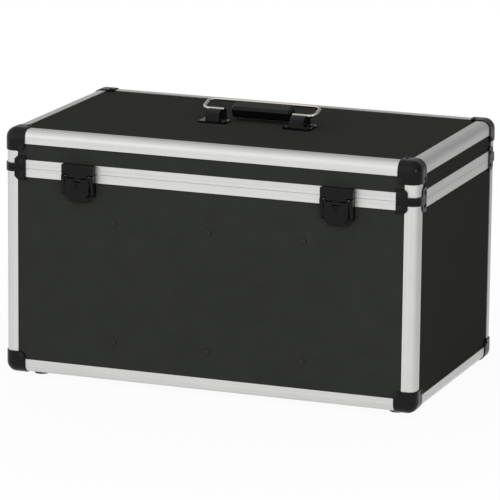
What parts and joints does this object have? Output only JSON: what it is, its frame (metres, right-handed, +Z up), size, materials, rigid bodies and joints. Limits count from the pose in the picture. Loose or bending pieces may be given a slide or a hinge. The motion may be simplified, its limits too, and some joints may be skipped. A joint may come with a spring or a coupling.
{
  "type": "lighting flight case",
  "caption": "Flight case for lights: dark boards in aluminium edging, hinged lid, key latches, folding top handle, dividers inside.",
  "frame": {"origin": "on the floor under the middle of the case's overall box, at the bottom of the feet", "axes": "+X to the right of the front along the case's width, -Y out of the latched front, +Z up"},
  "size_m": [0.5358, 0.3222, 0.3355],
  "materials": {
    "board": "black satin laminate on plywood",
    "divider_board": "bare birch plywood",
    "extrusion": "satin anodised",
    "rim": "satin anodised",
    "corner_plastic": "moulded, glossy black",
    "black_rivet": "black, satin",
    "black_screw": "black oxide, satin",
    "foam": "charcoal foam with a fine skin",
    "foot_rubber": "matte black",
    "latch_plastic": "black, satin",
    "pin_steel": "plain steel",
    "hinge_steel": "black, satin",
    "bracket_plastic": "moulded, glossy black",
    "bail_wire": "bright nickel plate",
    "grip_plastic": "moulded, satin black"
  },
  "bodies": {
    "case_body": {"front_panel": "board", "back_panel": "board", "left_panel": "board", "right_panel": "board", "bottom_panel": "board", "divider_left": "divider_board", "divider_middle": "divider_board", "divider_right": "divider_board", "corner_posts": "extrusion", "bottom_edges": "extrusion", "body_rim": "rim", "bottom_corners": "corner_plastic", "body_split_corners": "corner_plastic", "body_corner_rivets": "black_rivet", "latch_base_rivets": "black_rivet", "hinge_body_rivets": "black_rivet", "divider_screws": "black_screw", "foot_screws": "black_screw", "floor_pad_far_left": "foam", "floor_pad_left": "foam", "floor_pad_right": "foam", "floor_pad_far_right": "foam", "feet": "foot_rubber", "latch_base_left": "latch_plastic", "latch_base_right": "latch_plastic", "lever_pins": "pin_steel", "hinge_pins": "pin_steel", "hinge_body_leaves": "hinge_steel"},
    "lid": {"lid_panel": "board", "lid_front_strip": "board", "lid_back_strip": "board", "lid_left_strip": "board", "lid_right_strip": "board", "lid_top_edges": "extrusion", "lid_posts": "extrusion", "lid_rim": "rim", "lid_corners": "corner_plastic", "lid_split_corners": "corner_plastic", "lid_corner_rivets": "black_rivet", "lid_pad": "foam", "handle_bracket_left": "bracket_plastic", "handle_bracket_right": "bracket_plastic", "handle_screws": "black_screw", "latch_catch_left": "latch_plastic", "latch_catch_right": "latch_plastic", "latch_catch_rivets": "black_rivet", "hinge_lid_leaves": "hinge_steel", "hinge_lid_rivets": "black_rivet"},
    "handle": {"handle_bail": "bail_wire", "handle_grip": "grip_plastic"},
    "latch_lever_left": {"latch_lever_left": "latch_plastic", "hook_pin_left": "pin_steel"},
    "latch_lever_right": {"latch_lever_right": "latch_plastic", "hook_pin_right": "pin_steel"},
    "latch_hook_left": {"latch_hook_left": "latch_plastic"},
    "latch_hook_right": {"latch_hook_right": "latch_plastic"},
    "lock_core_left": {"lock_core_left": "latch_plastic"},
    "lock_core_right": {"lock_core_right": "latch_plastic"}
  },
  "joints": [
    {"name": "lid_hinge", "type": "hinge", "parent": "case_body", "child": "lid", "pos_m": [0, 0.1574, 0.2647], "axis": [-1, 0, 0], "range_deg": [0, 100]},
    {"name": "handle_swing", "type": "hinge", "parent": "lid", "child": "handle", "pos_m": [0.006, 0.003, 0.3258], "axis": [1, 0, 0], "range_deg": [0, 175]},
    {"name": "latch_lever_left_turn", "type": "hinge", "parent": "case_body", "child": "latch_lever_left", "pos_m": [-0.166, -0.1591, 0.2621], "axis": [-1, 0, 0], "range_deg": [0, 90]},
    {"name": "latch_hook_left_turn", "type": "hinge", "parent": "latch_lever_left", "child": "latch_hook_left", "pos_m": [-0.166, -0.1589, 0.2573], "axis": [-1, 0, 0], "range_deg": [-104, 0]},
    {"name": "lock_core_left_turn", "type": "hinge", "parent": "latch_lever_left", "child": "lock_core_left", "pos_m": [-0.166, -0.1605, 0.2503], "axis": [0, -1, 0], "range_deg": [0, 90]},
    {"name": "latch_lever_right_turn", "type": "hinge", "parent": "case_body", "child": "latch_lever_right", "pos_m": [0.166, -0.1591, 0.2621], "axis": [-1, 0, 0], "range_deg": [0, 90]},
    {"name": "latch_hook_right_turn", "type": "hinge", "parent": "latch_lever_right", "child": "latch_hook_right", "pos_m": [0.166, -0.1589, 0.2573], "axis": [-1, 0, 0], "range_deg": [-104, 0]},
    {"name": "lock_core_right_turn", "type": "hinge", "parent": "latch_lever_right", "child": "lock_core_right", "pos_m": [0.166, -0.1605, 0.2503], "axis": [0, -1, 0], "range_deg": [0, 90]}
  ],
  "couplings": [
    {"joint": "latch_hook_left_turn", "follows": "latch_lever_left_turn", "ratio": -1.15},
    {"joint": "latch_hook_right_turn", "follows": "latch_lever_right_turn", "ratio": -1.15}
  ]
}
